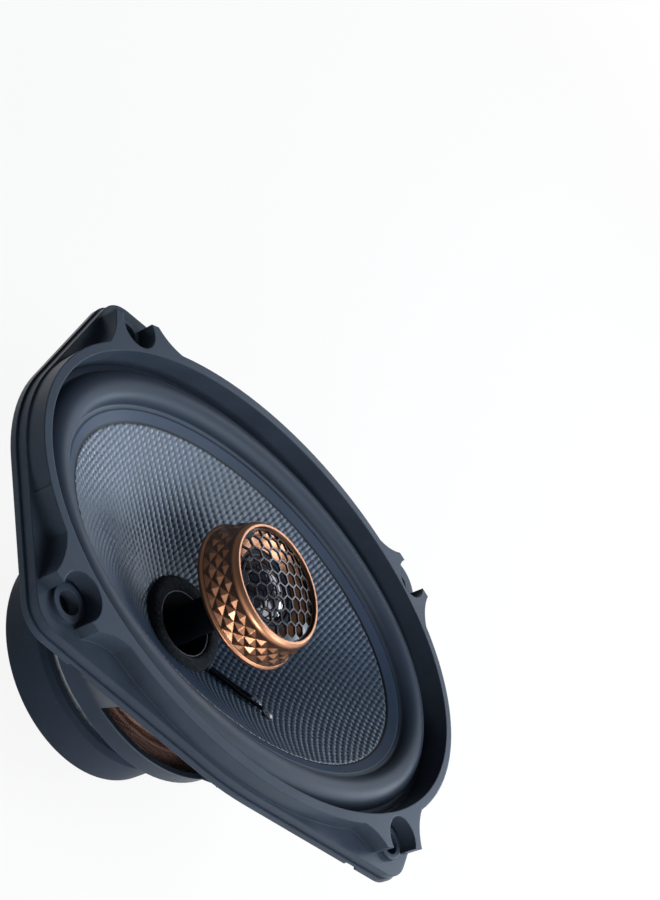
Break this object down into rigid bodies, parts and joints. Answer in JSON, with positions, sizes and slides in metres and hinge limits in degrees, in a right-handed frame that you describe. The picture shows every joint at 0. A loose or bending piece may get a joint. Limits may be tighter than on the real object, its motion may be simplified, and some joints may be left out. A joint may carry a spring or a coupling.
{
  "type": "coaxial car speaker",
  "caption": "Oval coaxial car speaker: woven cone in a rubber surround, faceted copper tweeter pod on a post, open basket and ring magnet.",
  "frame": {"origin": "centre of the magnet back face, on the surface the speaker rests on", "axes": "+Z along the speaker axis out of the front, +X along the long axis of the oval"},
  "size_m": [0.24, 0.162, 0.0943],
  "materials": {
    "frame_paint": "satin",
    "trim_plastic": "matte",
    "rubber": "satin",
    "cone_film": "satin",
    "woven_skin": "woven",
    "felt": "matte",
    "coil_film": "satin",
    "copper_wire": "satin",
    "spider_cloth": "woven",
    "boot_plastic": "matte",
    "ferrite": "matte",
    "zinc_steel": "satin",
    "dark_steel": "satin",
    "post_plastic": "satin",
    "rose_metal": "satin",
    "guard_wire": "satin",
    "dome_film": "gloss",
    "neodymium": "satin",
    "lead_sleeve": "satin",
    "eyelet_metal": "satin",
    "brass_rivet": "satin",
    "board_laminate": "matte",
    "tinned_brass": "satin",
    "capacitor_sleeve": "gloss"
  },
  "bodies": {
    "frame": {"back_plate": "zinc_steel", "basket": "frame_paint", "board_rivets": "brass_rivet", "crossover_capacitor": "capacitor_sleeve", "ferrite_magnet": "ferrite", "magnet_boot": "boot_plastic", "plate_rivets": "zinc_steel", "pod_back": "post_plastic", "pod_base_ring": "rose_metal", "pod_grille": "guard_wire", "pod_shell": "rose_metal", "post_bolt": "dark_steel", "spider": "spider_cloth", "surround": "rubber", "terminal_board": "board_laminate", "terminal_negative": "tinned_brass", "terminal_positive": "tinned_brass", "top_plate": "zinc_steel", "trim_ring": "trim_plastic", "tweeter_cup": "zinc_steel", "tweeter_magnet": "neodymium", "tweeter_plate": "zinc_steel", "tweeter_post": "post_plastic", "tweeter_surround": "rubber", "waveguide_ring": "rose_metal"},
    "cone_assembly": {"cone": "cone_film", "cone_skin": "woven_skin", "neck_collar": "felt", "voice_coil_former": "coil_film", "voice_coil": "copper_wire", "lead_wires": "lead_sleeve", "lead_eyelets": "eyelet_metal"},
    "dome_assembly": {"tweeter_dome": "dome_film", "tweeter_coil": "copper_wire"}
  },
  "joints": [
    {"name": "cone_travel", "type": "slide", "parent": "frame", "child": "cone_assembly", "axis": [0, 0, 1], "range_m": [-0.0045, 0.0045], "stiffness_N_per_m": 3300, "deforming": ["surround", "spider"]},
    {"name": "dome_travel", "type": "slide", "parent": "frame", "child": "dome_assembly", "axis": [0, 0, 1], "range_m": [-0.0003, 0.0003], "stiffness_N_per_m": 2000, "deforming": ["tweeter_surround"]}
  ]
}
